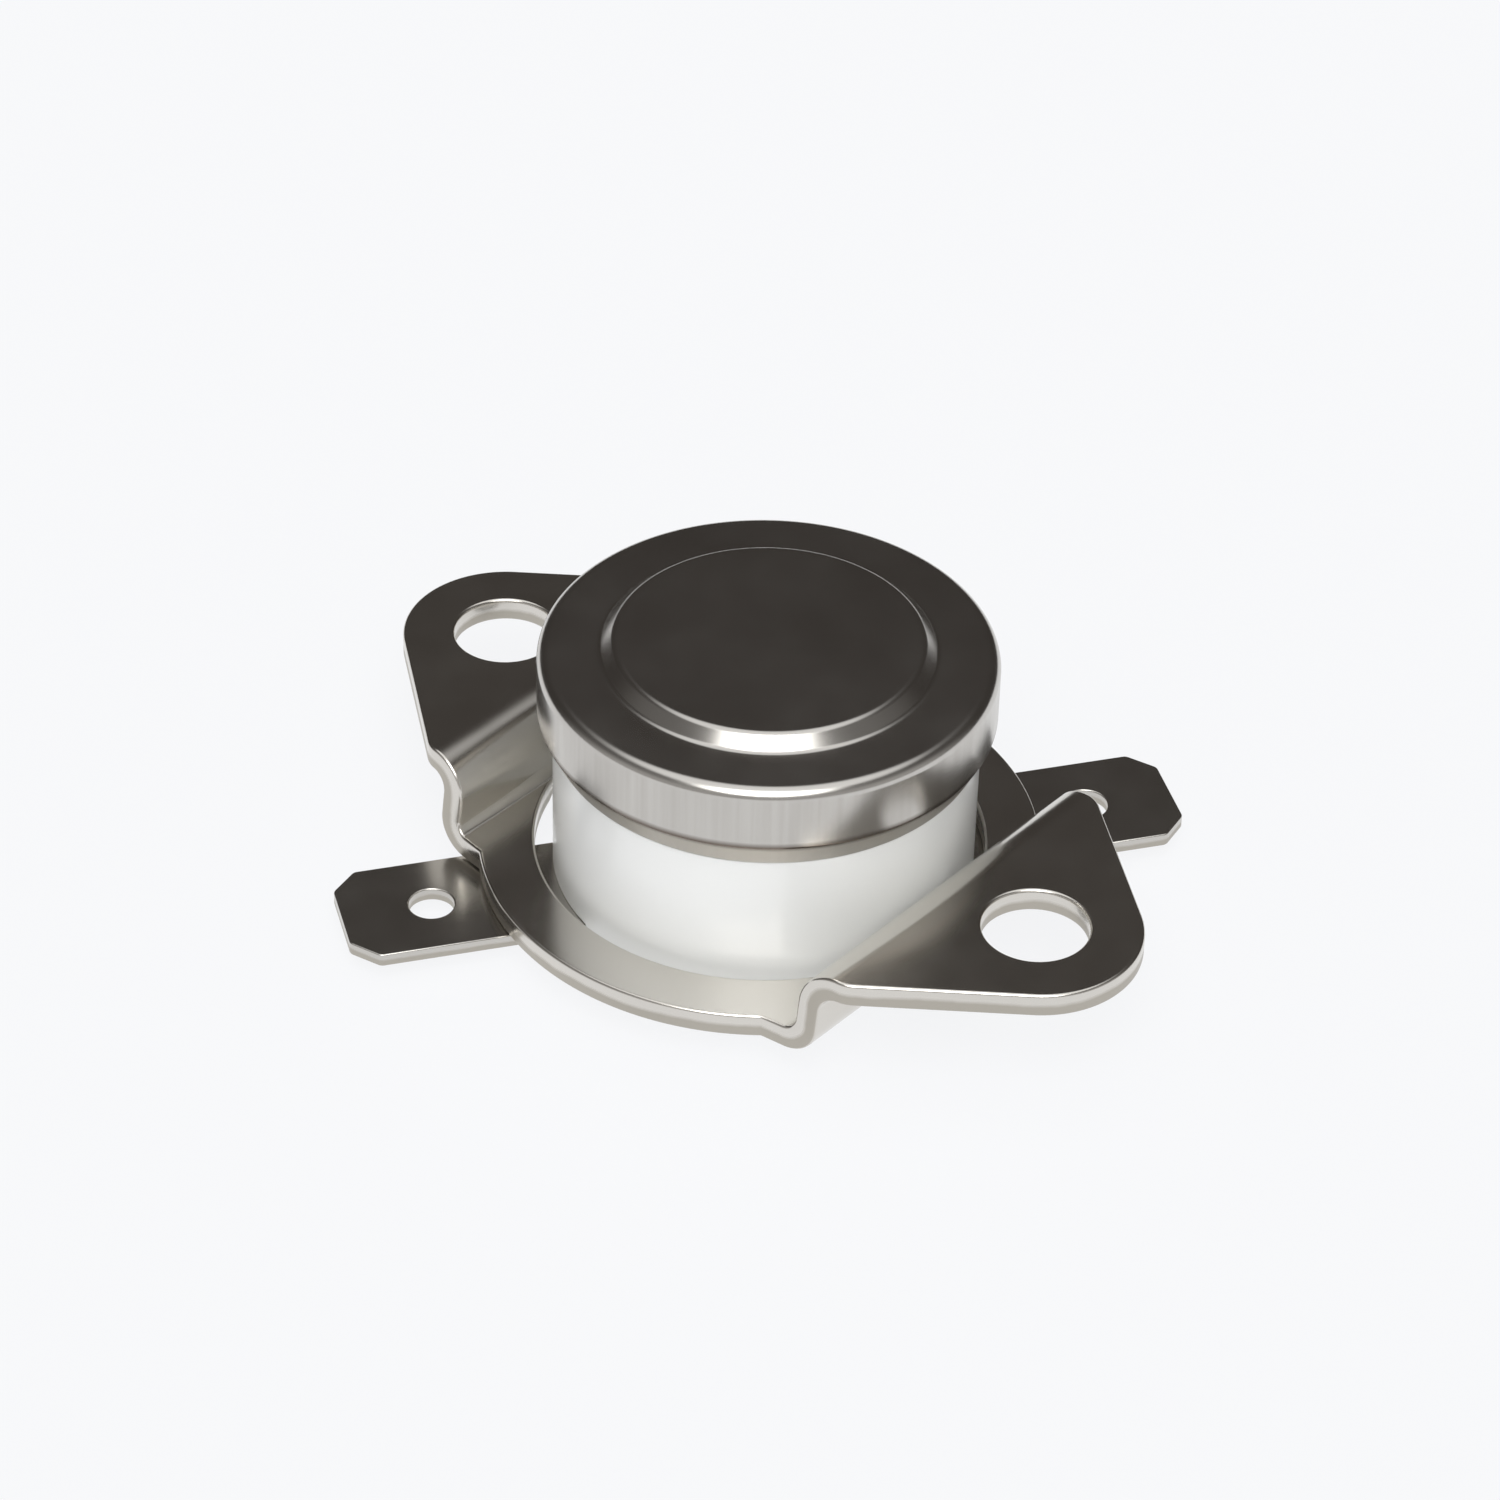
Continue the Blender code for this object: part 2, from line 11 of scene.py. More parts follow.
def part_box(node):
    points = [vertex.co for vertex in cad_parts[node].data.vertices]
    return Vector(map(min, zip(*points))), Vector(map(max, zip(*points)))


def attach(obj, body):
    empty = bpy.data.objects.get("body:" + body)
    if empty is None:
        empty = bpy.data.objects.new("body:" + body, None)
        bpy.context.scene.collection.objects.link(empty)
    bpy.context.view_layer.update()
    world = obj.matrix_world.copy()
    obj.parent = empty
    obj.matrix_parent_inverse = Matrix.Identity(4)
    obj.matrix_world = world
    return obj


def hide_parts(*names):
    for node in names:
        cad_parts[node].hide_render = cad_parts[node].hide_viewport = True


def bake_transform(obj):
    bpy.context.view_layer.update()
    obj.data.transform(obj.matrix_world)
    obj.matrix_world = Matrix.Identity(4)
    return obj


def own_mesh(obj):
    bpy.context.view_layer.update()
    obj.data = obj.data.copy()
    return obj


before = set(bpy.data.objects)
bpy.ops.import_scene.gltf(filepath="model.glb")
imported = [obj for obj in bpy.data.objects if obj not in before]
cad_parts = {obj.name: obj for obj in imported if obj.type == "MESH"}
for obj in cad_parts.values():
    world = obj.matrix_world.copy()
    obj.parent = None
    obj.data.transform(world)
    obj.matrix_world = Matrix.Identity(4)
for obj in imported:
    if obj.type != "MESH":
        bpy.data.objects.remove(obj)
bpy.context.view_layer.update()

MM = 0.001
GAP = 0.05 * MM

# Cap
CAP_LOW, CAP_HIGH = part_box("cap")
CAP_R = CAP_HIGH.x
CAP_LIP = CAP_LOW.z
CAP_T = 0.25 * MM
PLATEAU_H = 0.50 * MM
PLATEAU_TOP = CAP_HIGH.z
CAP_FACE = PLATEAU_TOP - PLATEAU_H
CAP_CORNER = 0.45 * MM
CRIMP_H = 1.00 * MM
CRIMP_IN = 0.50 * MM
CRIMP_ROUND = 0.30 * MM
CRIMP_LEAN = math.atan(CRIMP_IN / CRIMP_H)
CRIMP_Z = CAP_LIP + CRIMP_H
PLATEAU_R = 5.35 * MM
PLATEAU_FOOT_R = 5.85 * MM
PLATEAU_ROUND = 0.35 * MM
PLATEAU_FILLET = 0.30 * MM

# Ceramic body
BODY_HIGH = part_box("ceramic_body")[1]
BODY_R = 7.45 * MM
BODY_TOP = BODY_HIGH.z
FLANGE_R = BODY_HIGH.x
BODY_CHAMFER = 0.35 * MM
BODY_EDGE = 0.05 * MM
BODY_EDGE_ANGLE = math.radians(50)
FLANGE_CHAMFER = 0.10 * MM
CAVITY_ROUND = 0.12 * MM
CAVITY_R = 6.40 * MM
FLOOR_TOP = 2.60 * MM
CHANNEL_CUT_SHARE = 1.2
CONE_Z = CRIMP_Z + (CAP_T + GAP) * math.tan(CRIMP_LEAN / 2)
NECK_Z = CAP_LIP + CAP_T * math.sin(CRIMP_LEAN)
NECK_R = FLANGE_R - (CONE_Z - NECK_Z) * math.tan(CRIMP_LEAN)
NECK_LOW_Z = CAP_LIP - GAP

# Terminals and their rivets
TAB_LOW, TAB_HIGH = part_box("terminal_right")
TAB_INNER_X = TAB_LOW.x
TAB_TIP_X = TAB_HIGH.x
TAB_HALF = TAB_HIGH.y
TAB_Z = TAB_LOW.z
TAB_TOP = TAB_HIGH.z
TAB_CORNER = 0.90 * MM
TAB_HOLE_X = 12.00 * MM
TAB_HOLE_R = 0.80 * MM
TAB_EDGE = 0.05 * MM
TAB_ROUND = 0.30 * MM
RIVET_X = 4.40 * MM
RIVET_R = 0.80 * MM
RIVET_LOW_R = 1.50 * MM
RIVET_TOP_R = 1.00 * MM
RIVET_H = 0.50 * MM
RIVET_TOP_ROUND = 0.25 * MM
RIVET_LOW_ROUND = 0.30 * MM
RIVET_HEAD_EDGE = 0.10 * MM

# Bracket
BRACKET_LOW, BRACKET_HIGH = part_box("bracket")
SHEET_T = 0.90 * MM
RING_Z = BRACKET_LOW.z
EAR_TOP = BRACKET_HIGH.z
RISE = EAR_TOP - RING_Z - SHEET_T
RING_HOLE_R = 7.95 * MM
RING_R = 9.93 * MM
RISER_IN = 7.80 * MM
RISER_HALF = 6.80 * MM
FOOT_HALF = 7.45 * MM
BEND_LOW = 0.40 * MM
BEND_HIGH = 0.60 * MM
EAR_X = 12.30 * MM
EAR_REACH = 2.70 * MM
EAR_TIP_R = 3.70 * MM
EAR_HOLE_R = 1.85 * MM
EAR_CORNER_R = 1.20 * MM
SHEET_EDGE = 0.12 * MM
BRACKET_TURN = math.radians(-56.2)
BRACKET_SLIDE = -0.15 * MM

# Snap disc and spring arm
DISC_LOW, DISC_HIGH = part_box("bimetal_disc")
DISC_T = 0.20 * MM
ARM_LOW, ARM_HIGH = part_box("contact_arm")
ARM_T = 0.20 * MM
ARM_TILT_ROOM = 0.03 * MM
ARM_PIVOT_X = -3.40 * MM
ARM_FLAT_X = -2.40 * MM
ARM_BEND = 0.40 * MM

# Camera, as the photograph was taken
CAMERA_AZIMUTH = math.radians(16.18)
CAMERA_ELEVATION = math.radians(37.99)
CAMERA_DISTANCE = 180 * MM
CAMERA_AIM_Z = 5.30 * MM
CAMERA_PAN = math.radians(-0.18)
CAMERA_TILT = math.radians(-0.15)
CAMERA_ROLL = math.radians(-1.68)
FRAME_PX = 1500
FOCAL_PX = 5149.5
SENSOR_MM = 36.0

# Plated metal: noise cells per metre of its clouds, haze and waviness, and what they do
CLOUD_CELLS = 180.0
CAP_CLOUD_CELLS = 220.0
HAZE_CELLS = 420.0
HAZE_LOW = 0.8
HAZE_HIGH = 1.2
WAVE_CELLS = 260.0
WAVE = 0.015 * MM
STREAK_CELLS = (22.0, 1.0, 60.0)
STREAK_SHARE = 0.7

# Worn metal and painted light: fracture of blanked edges, the rolled crimp with real dulling and a darker
# brown tint that is a painted reflection, and a dark line along its top that is painted shade in the crease
WORN_DULLING = 0.2
BREAK_CELLS = 500.0
BREAK_WANDER = 0.12
BREAK_SHARE = 0.9
FRACTURE = (0.47, 0.44, 0.385)
CRIMP_PAINTED_REFLECTION = (0.50, 0.465, 0.405)
CRIMP_REFLECTION_SHARE = 0.55
CRIMP_FADE = 0.10 * MM
CREASE_PAINTED_SHADE = (0.13, 0.10, 0.08)
CREASE_SHADE_REACH = 0.22 * MM
CREASE_SHADE_SHARE = 0.95

# Glaze and grain: noise cells per metre, gloss and fine bumps
GLAZE_CLOUD_CELLS = 120.0
PEEL_CELLS = 400.0
GLAZE_ROUGHNESS = (0.285, 0.33)
GRAIN_LOW = 0.85
GRAIN_HIGH = 1.2
FINE_BUMP = 0.01 * MM
FINE_BUMP_SHARE = 0.3

# Light: the room behind the object, the room on the camera's side, the ceiling and one soft key
ROOM_BEHIND = (0.054, 0.048, 0.044)
ROOM_BEFORE = (0.45, 0.44, 0.43)
CEILING = (1.05, 1.05, 1.05)
KEY = (5.8, 5.8, 5.75)
KEY_AZIMUTH = math.radians(16)
KEY_ELEVATION = math.radians(53)
KEY_CORE = math.radians(8)
KEY_REACH = math.radians(27)
ROOM_LOW = math.radians(15)
ROOM_HIGH = math.radians(45)
ROOM_HIGH_SHARE = 0.3
ROOM_SIDES = (-0.45, 0.4)
CEILING_START = math.radians(50)
CEILING_FULL = math.radians(66)

# Floor: a pale surface whose colour glows, so that it is white and still keeps the shadow
FLOOR_SIDE = 4.0
FLOOR_COLOR = (0.93, 0.935, 0.965)
FLOOR_CELLS = 900.0
BACKGROUND = (0.948, 0.955, 0.970)
FLOOR_GLOW = 0.90

# Facets
TURN_STEPS = 192
DISC_STEPS = 96
DISH_STEPS = 14
RIVET_STEPS = 64
TAB_HOLE_STEPS = 64
EAR_HOLE_STEPS = 96
EAR_TIP_STEPS = 64
RING_ARC_STEPS = 90
BEND_STEPS = 20
CUT_STEPS = 48
ARC_STEPS = 12
ARM_ARC_STEPS = 10
BODY_ARC_STEPS = 8
SMALL_ARC_STEPS = 6
HOLE_PHASE = 0.3
SHARP_ANGLE = math.radians(35)
FLAT_WEIGHT = 80
WELD = 1e-6
ON_FACE = 0.999


def piece(mesh, name):
    obj = bpy.data.objects.new(name, mesh)
    bpy.context.scene.collection.objects.link(obj)
    return obj


def smooth(obj):
    """Smooth shading, with flats kept flat beside their rounded edges."""
    obj.data.shade_smooth()
    obj.data.set_sharp_from_angle(angle=SHARP_ANGLE)
    level = obj.modifiers.new("Flats", "WEIGHTED_NORMAL")
    level.keep_sharp = True
    level.weight = FLAT_WEIGHT


def smooth_sheet(obj, normals):
    """Smooth shading of a sheet: true normals on its two faces, blended along its rounded edges."""
    obj.data.shade_smooth()
    obj.data.set_sharp_from_angle(angle=SHARP_ANGLE)
    obj.data.normals_split_custom_set_from_vertices(normals)


def baked(obj):
    """The object with its modifiers made plain mesh."""
    bpy.context.view_layer.update()
    graph = bpy.context.evaluated_depsgraph_get()
    mesh = bpy.data.meshes.new_from_object(obj.evaluated_get(graph), depsgraph=graph)
    obj.modifiers.clear()
    obj.data = mesh
    return obj


def rounded(points, radii, steps=ARC_STEPS):
    """Polyline through points, with an arc of the given radius in place of each inner corner."""
    out = [points[0]]
    for i in range(1, len(points) - 1):
        corner = Vector(points[i])
        radius = radii[i - 1]
        back = (Vector(points[i - 1]) - corner).normalized()
        ahead = (Vector(points[i + 1]) - corner).normalized()
        half = back.angle(ahead) / 2
        if radius <= 0 or half > math.pi / 2 - 1e-4:
            out.append(tuple(corner))
            continue
        centre = corner + (back + ahead).normalized() * (radius / math.sin(half))
        first = corner + back * (radius / math.tan(half)) - centre
        last = corner + ahead * (radius / math.tan(half)) - centre
        sweep = first.angle_signed(last)
        for k in range(steps + 1):
            turned = Matrix.Rotation(-sweep * k / steps, 2) @ first
            out.append(tuple(centre + turned))
    if (Vector(points[-1]) - Vector(out[-1])).length > WELD:
        out.append(points[-1])
    return out


def revolve(name, profile, steps=TURN_STEPS, centre_x=0.0):
    """Solid of revolution. The profile runs from axis to axis, down its outer side."""
    mesh = bpy.data.meshes.new(name)
    mesh.from_pydata([(x, 0, z) for x, z in profile], [(i, i + 1) for i in range(len(profile) - 1)], [])
    obj = piece(mesh, name)
    obj.location.x = centre_x
    turn = obj.modifiers.new("Turn", "SCREW")
    turn.axis = "Z"
    turn.steps = steps
    turn.render_steps = steps
    turn.use_merge_vertices = True
    turn.merge_threshold = WELD
    return obj


def plate(name, outline, holes, thickness, edge):
    """Flat blank about z = 0 with rounded edges, as a mesh."""
    curve = bpy.data.curves.new(name, "CURVE")
    curve.dimensions = "2D"
    curve.fill_mode = "BOTH"
    curve.extrude = thickness / 2 - edge
    curve.bevel_depth = edge
    curve.bevel_resolution = 3 if edge else 0
    curve.offset = -edge
    for loop in (outline, *holes):
        spline = curve.splines.new("POLY")
        spline.points.add(len(loop) - 1)
        for point, (x, y) in zip(spline.points, loop):
            point.co = (x, y, 0, 1)
        spline.use_cyclic_u = True
    drawn = bpy.data.objects.new(name + "_outline", curve)
    bpy.context.scene.collection.objects.link(drawn)
    bpy.context.view_layer.update()
    graph = bpy.context.evaluated_depsgraph_get()
    mesh = bpy.data.meshes.new_from_object(drawn.evaluated_get(graph), depsgraph=graph)
    bpy.data.objects.remove(drawn, do_unlink=True)
    shell = bmesh.new()
    shell.from_mesh(mesh)
    bmesh.ops.remove_doubles(shell, verts=shell.verts, dist=WELD)
    bmesh.ops.recalc_face_normals(shell, faces=shell.faces)
    shell.to_mesh(mesh)
    shell.free()
    mesh.name = name
    height = mesh.attributes.new("sheet_height", "FLOAT", "POINT")
    for vert, entry in zip(mesh.vertices, height.data):
        entry.value = vert.co.z / (thickness / 2)
    return piece(mesh, name)


def face_side(z, thickness):
    """1 or -1 on the blank's upper or lower face, 0 on its edge."""
    return round(z / (thickness / 2)) if abs(z) > ON_FACE * thickness / 2 else 0


def circle(radius, steps, x=0.0):
    turns = [2 * math.pi * (k + HOLE_PHASE) / steps for k in range(steps)]
    return [(x + radius * math.cos(a), radius * math.sin(a)) for a in turns]


def cut(obj, tool):
    mod = obj.modifiers.new("Cut", "BOOLEAN")
    mod.operation = "DIFFERENCE"
    mod.solver = "EXACT"
    mod.object = tool
    baked(obj)
    bpy.data.objects.remove(tool, do_unlink=True)


def box_tool(x0, x1, half, z0, z1):
    shell = bmesh.new()
    bmesh.ops.create_cube(shell, size=1.0)
    size = Matrix.Diagonal((x1 - x0, 2 * half, z1 - z0, 1.0))
    shell.transform(Matrix.Translation(((x0 + x1) / 2, 0, (z0 + z1) / 2)) @ size)
    mesh = bpy.data.meshes.new("tool")
    shell.to_mesh(mesh)
    shell.free()
    return piece(mesh, "tool")


def build_cap():
    outer = rounded(
        [(0, PLATEAU_TOP), (PLATEAU_R, PLATEAU_TOP), (PLATEAU_FOOT_R, CAP_FACE),
         (CAP_R, CAP_FACE), (CAP_R, CRIMP_Z), (CAP_R - CRIMP_IN, CAP_LIP)],
        [PLATEAU_ROUND, PLATEAU_FILLET, CAP_CORNER, CRIMP_ROUND])
    cap = revolve("cap_shell", outer)
    sheet = cap.modifiers.new("Sheet", "SOLIDIFY")
    sheet.thickness = CAP_T
    sheet.offset = -1.0
    sheet.use_even_offset = True
    baked(cap)
    smooth(cap)
    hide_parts("cap")
    return cap


def build_body():
    profile = rounded(
        [(0, FLOOR_TOP), (CAVITY_R, FLOOR_TOP), (CAVITY_R, BODY_TOP), (FLANGE_R, BODY_TOP),
         (FLANGE_R, CONE_Z), (NECK_R, NECK_Z), (NECK_R, NECK_LOW_Z), (BODY_R, NECK_LOW_Z),
         (BODY_R, 0), (0, 0)],
        [CAVITY_ROUND, CAVITY_ROUND, FLANGE_CHAMFER, 0, 0, 0, GAP, BODY_CHAMFER], BODY_ARC_STEPS)
    body = baked(revolve("ceramic_shell", profile))
    for side in (-1, 1):
        near, far = sorted((side * (TAB_INNER_X - 2 * GAP), side * BODY_R * CHANNEL_CUT_SHARE))
        cut(body, box_tool(near, far, TAB_HALF + GAP, -MM, TAB_TOP + GAP))
        hole = baked(revolve("tool", [(0, FLOOR_TOP + MM), (RIVET_R + GAP, FLOOR_TOP + MM),
                                      (RIVET_R + GAP, TAB_Z), (0, TAB_Z)], CUT_STEPS, side * RIVET_X))
        cut(body, hole)
    edges = body.modifiers.new("Edges", "BEVEL")
    edges.width = BODY_EDGE
    edges.segments = 2
    edges.limit_method = "ANGLE"
    edges.angle_limit = BODY_EDGE_ANGLE
    baked(body)
    smooth(body)
    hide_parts("ceramic_body")
    return body


def build_terminal(side, label):
    tip, corner, half = TAB_TIP_X, TAB_CORNER, TAB_HALF
    outline = [
        (TAB_INNER_X, -half), (tip - corner, -half), (tip, -half + corner),
        (tip, half - corner), (tip - corner, half), (TAB_INNER_X, half),
    ]
    outline = rounded(outline, [TAB_ROUND] * 4, SMALL_ARC_STEPS)
    if side < 0:
        outline = [(-x, -y) for x, y in outline]
    holes = [circle(radius, TAB_HOLE_STEPS, side * x)
             for radius, x in ((TAB_HOLE_R, TAB_HOLE_X), (RIVET_R + GAP, RIVET_X))]
    tab = plate("tab_" + label, outline, holes, TAB_TOP - TAB_Z, TAB_EDGE)
    smooth_sheet(tab, [(0, 0, face_side(vert.co.z, TAB_TOP - TAB_Z)) for vert in tab.data.vertices])
    tab.location.z = (TAB_Z + TAB_TOP) / 2
    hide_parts("terminal_" + label)
    return tab


def build_rivet(side, label):
    low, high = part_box("rivet_" + label)
    profile = rounded(
        [(0, high.z), (RIVET_TOP_R, high.z), (RIVET_TOP_R, high.z - RIVET_H), (RIVET_R, high.z - RIVET_H),
         (RIVET_R, low.z + RIVET_H), (RIVET_LOW_R, low.z + RIVET_H), (RIVET_LOW_R, low.z), (0, low.z)],
        [RIVET_TOP_ROUND, 0, 0, 0, RIVET_HEAD_EDGE, RIVET_LOW_ROUND], SMALL_ARC_STEPS)
    rivet = baked(revolve("rivet_head_" + label, profile, RIVET_STEPS, side * RIVET_X))
    smooth(rivet)
    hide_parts("rivet_" + label)
    return rivet


def fold_stations():
    """Developed lengths from the axis: start and end of the lower bend, then of the upper bend."""
    low_turn = (BEND_LOW + SHEET_T / 2) * math.pi / 2
    high_turn = (BEND_HIGH + SHEET_T / 2) * math.pi / 2
    upright = RISE - BEND_LOW - BEND_HIGH - SHEET_T
    low_start = RISER_IN - BEND_LOW
    low_end = low_start + low_turn
    high_start = low_end + upright
    return low_start, low_end, high_start, high_start + high_turn


def fold_point(s, h):
    """Place (x, z) of a point of the blank: s along its middle plane from the axis, h above that plane."""
    low_start, low_end, high_start, high_end = fold_stations()
    low_r = BEND_LOW + SHEET_T / 2
    high_r = BEND_HIGH + SHEET_T / 2
    low_z = RING_Z + SHEET_T / 2
    high_z = EAR_TOP - SHEET_T / 2
    if s <= low_start:
        return s, low_z + h
    if s < low_end:
        turn = (s - low_start) / low_r
        return low_start + (low_r - h) * math.sin(turn), low_z + low_r - (low_r - h) * math.cos(turn)
    wall = low_start + low_r
    if s <= high_start:
        return wall - h, low_z + low_r + s - low_end
    if s < high_end:
        turn = (s - high_start) / high_r
        return wall + high_r - (high_r + h) * math.cos(turn), high_z - high_r + (high_r + h) * math.sin(turn)
    return wall + high_r + s - high_end, high_z + h


def blank_outline(centre):
    """Outline of the bracket's flat blank: a ring, and on each side a wide strip with a round tip."""
    reach = math.sqrt(RING_R ** 2 - FOOT_HALF ** 2)
    corner = Vector((centre - EAR_REACH, RISER_HALF))
    to_tip = Vector((centre, 0)) - corner
    lean = math.atan2(to_tip.y, to_tip.x) + math.asin(EAR_TIP_R / to_tip.length)
    run = math.sqrt(to_tip.length ** 2 - EAR_TIP_R ** 2)
    touch = corner + Vector((math.cos(lean), math.sin(lean))) * run
    shoulder = rounded([(reach, FOOT_HALF), tuple(corner), tuple(touch)], [EAR_CORNER_R])
    start = math.atan2(touch.y, touch.x - centre)
    turns = [start * (1 - 2 * k / EAR_TIP_STEPS) for k in range(1, EAR_TIP_STEPS)]
    tip = [(centre + EAR_TIP_R * math.cos(a), EAR_TIP_R * math.sin(a)) for a in turns]
    right = shoulder + tip + [(x, -y) for x, y in reversed(shoulder)]
    right.reverse()
    spread = math.atan2(FOOT_HALF, reach)
    turns = [spread + (math.pi - 2 * spread) * k / RING_ARC_STEPS for k in range(1, RING_ARC_STEPS)]
    arc = [(RING_R * math.cos(a), RING_R * math.sin(a)) for a in turns]
    left = [(-x, -y) for x, y in right]
    return right + arc + left + [(-x, -y) for x, y in arc]


def fold_normal(x, z):
    """Normal of the folded sheet's face at a point of the blank, or zero on its edge."""
    side = face_side(z, SHEET_T)
    low_x, low_z = fold_point(abs(x), -SHEET_T / 2)
    high_x, high_z = fold_point(abs(x), SHEET_T / 2)
    normal = Vector((math.copysign(high_x - low_x, (high_x - low_x) * x), 0, high_z - low_z))
    return side * normal.normalized()


def fold(blank):
    """Score the blank across at every step of its bends, then lay each point on the folded form.
    Returns the normals of its faces."""
    low_start, low_end, high_start, high_end = fold_stations()
    scores = []
    for start, end in ((low_start, low_end), (high_start, high_end)):
        scores += [start + (end - start) * k / BEND_STEPS for k in range(BEND_STEPS + 1)]
    shell = bmesh.new()
    shell.from_mesh(blank.data)
    for side in (-1, 1):
        for s in scores:
            parts = shell.verts[:] + shell.edges[:] + shell.faces[:]
            bmesh.ops.bisect_plane(
                shell, geom=parts, dist=WELD, plane_co=(side * s, 0, 0), plane_no=(1, 0, 0))
    normals = [fold_normal(vert.co.x, vert.co.z) for vert in shell.verts]
    for vert in shell.verts:
        x, z = fold_point(abs(vert.co.x), vert.co.z)
        vert.co.x = math.copysign(x, vert.co.x)
        vert.co.z = z
    shell.to_mesh(blank.data)
    shell.free()
    return normals


def build_bracket():
    high_end = fold_stations()[3]
    centre = EAR_X + high_end - fold_point(high_end, 0)[0]
    ear_holes = [circle(EAR_HOLE_R, EAR_HOLE_STEPS, side * centre) for side in (-1, 1)]
    holes = [circle(RING_HOLE_R, TURN_STEPS), *ear_holes]
    bracket = plate("bracket_sheet", blank_outline(centre), holes, SHEET_T, SHEET_EDGE)
    turn = Matrix.Rotation(BRACKET_TURN, 4, "Z")
    normals = [turn @ normal for normal in fold(bracket)]
    bracket.data.transform(Matrix.Translation((BRACKET_SLIDE, 0, 0)) @ turn)
    smooth_sheet(bracket, normals)
    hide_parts("bracket")
    return bracket


def build_disc():
    """Shallow dished disc."""
    radius = DISC_HIGH.x
    dish = DISC_HIGH.z - DISC_LOW.z - DISC_T
    radii = [radius * k / DISH_STEPS for k in range(DISH_STEPS + 1)]
    dome = [(r, DISC_LOW.z + dish * (1 - (r / radius) ** 2)) for r in radii]
    profile = [(r, z + DISC_T) for r, z in dome] + list(reversed(dome))
    disc = baked(revolve("snap_disc", profile, DISC_STEPS))
    smooth(disc)
    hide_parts("bimetal_disc")
    return disc


def build_arm():
    """Spring arm: a folded strip with its rivet hole, low enough that its tilt clears the pin's edge."""
    thick = ARM_T - ARM_TILT_ROOM
    root_z = ARM_LOW.z + thick / 2
    flat_z = ARM_HIGH.z - ARM_T + thick / 2
    path = rounded(
        [(ARM_LOW.x, root_z), (ARM_PIVOT_X, root_z), (ARM_FLAT_X, flat_z), (ARM_HIGH.x, flat_z)],
        [ARM_BEND, ARM_BEND], ARM_ARC_STEPS)
    width = ARM_HIGH.y
    mesh = bpy.data.meshes.new("spring_arm")
    n = len(path)
    verts = [(x, -width, z) for x, z in path] + [(x, width, z) for x, z in path]
    mesh.from_pydata(verts, [], [(i, i + 1, n + i + 1, n + i) for i in range(n - 1)])
    arm = piece(mesh, "spring_arm")
    sheet = arm.modifiers.new("Sheet", "SOLIDIFY")
    sheet.thickness = thick
    sheet.offset = 0
    sheet.use_even_offset = True
    baked(arm)
    low, high = ARM_LOW.z - MM / 2, ARM_LOW.z + ARM_T + MM / 4
    profile = [(0, high), (RIVET_R + GAP, high), (RIVET_R + GAP, low), (0, low)]
    hole = revolve("tool", profile, CUT_STEPS, -RIVET_X)
    cut(arm, baked(hole))
    smooth(arm)
    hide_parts("contact_arm")
    return arm


def shader(name, color, metallic, roughness):
    mat = bpy.data.materials.new(name)
    mat.use_nodes = True
    nodes = mat.node_tree.nodes
    bsdf = nodes["Principled BSDF"]
    bsdf.inputs["Base Color"].default_value = (*color, 1.0)
    bsdf.inputs["Metallic"].default_value = metallic
    bsdf.inputs["Roughness"].default_value = roughness
    return mat, mat.node_tree, bsdf


def noise(tree, vector, scale, detail=4.0, rough=0.5):
    node = tree.nodes.new("ShaderNodeTexNoise")
    node.inputs["Scale"].default_value = scale
    node.inputs["Detail"].default_value = detail
    node.inputs["Roughness"].default_value = rough
    tree.links.new(vector, node.inputs["Vector"])
    return node.outputs["Fac"]


def stretched(tree, vector, scale):
    node = tree.nodes.new("ShaderNodeMapping")
    node.inputs["Scale"].default_value = scale
    tree.links.new(vector, node.inputs["Vector"])
    return node.outputs["Vector"]


def ramp(tree, value, low, high, out_low, out_high):
    node = tree.nodes.new("ShaderNodeMapRange")
    node.inputs["From Min"].default_value = low
    node.inputs["From Max"].default_value = high
    node.inputs["To Min"].default_value = out_low
    node.inputs["To Max"].default_value = out_high
    tree.links.new(value, node.inputs["Value"])
    return node.outputs["Result"]


def mix_color(tree, factor, a, b):
    node = tree.nodes.new("ShaderNodeMix")
    node.data_type = "RGBA"
    tree.links.new(factor, node.inputs["Factor"])
    for socket, value in ((node.inputs["A"], a), (node.inputs["B"], b)):
        if isinstance(value, tuple):
            socket.default_value = (*value, 1.0)
        else:
            tree.links.new(value, socket)
    return node.outputs["Result"]


def bump(tree, bsdf, height, strength, distance):
    node = tree.nodes.new("ShaderNodeBump")
    node.inputs["Strength"].default_value = strength
    node.inputs["Distance"].default_value = distance
    tree.links.new(height, node.inputs["Height"])
    tree.links.new(node.outputs["Normal"], bsdf.inputs["Normal"])


def coordinates(tree):
    return tree.nodes.new("ShaderNodeTexCoord").outputs["Object"]


def around_axis(tree, vector):
    """Coordinates that run round the axis and up it, so that streaks stand upright on a drawn wall."""
    parts = tree.nodes.new("ShaderNodeSeparateXYZ")
    tree.links.new(vector, parts.inputs["Vector"])
    turn = tree.nodes.new("ShaderNodeMath")
    turn.operation = "ARCTAN2"
    tree.links.new(parts.outputs["Y"], turn.inputs[0])
    tree.links.new(parts.outputs["X"], turn.inputs[1])
    both = tree.nodes.new("ShaderNodeCombineXYZ")
    tree.links.new(turn.outputs[0], both.inputs["X"])
    tree.links.new(parts.outputs["Z"], both.inputs["Z"])
    return both.outputs["Vector"]


def math_node(tree, operation, a, b):
    node = tree.nodes.new("ShaderNodeMath")
    node.operation = operation
    for socket, value in ((node.inputs[0], a), (node.inputs[1], b)):
        if isinstance(value, float):
            socket.default_value = value
        else:
            tree.links.new(value, socket)
    return node.outputs[0]


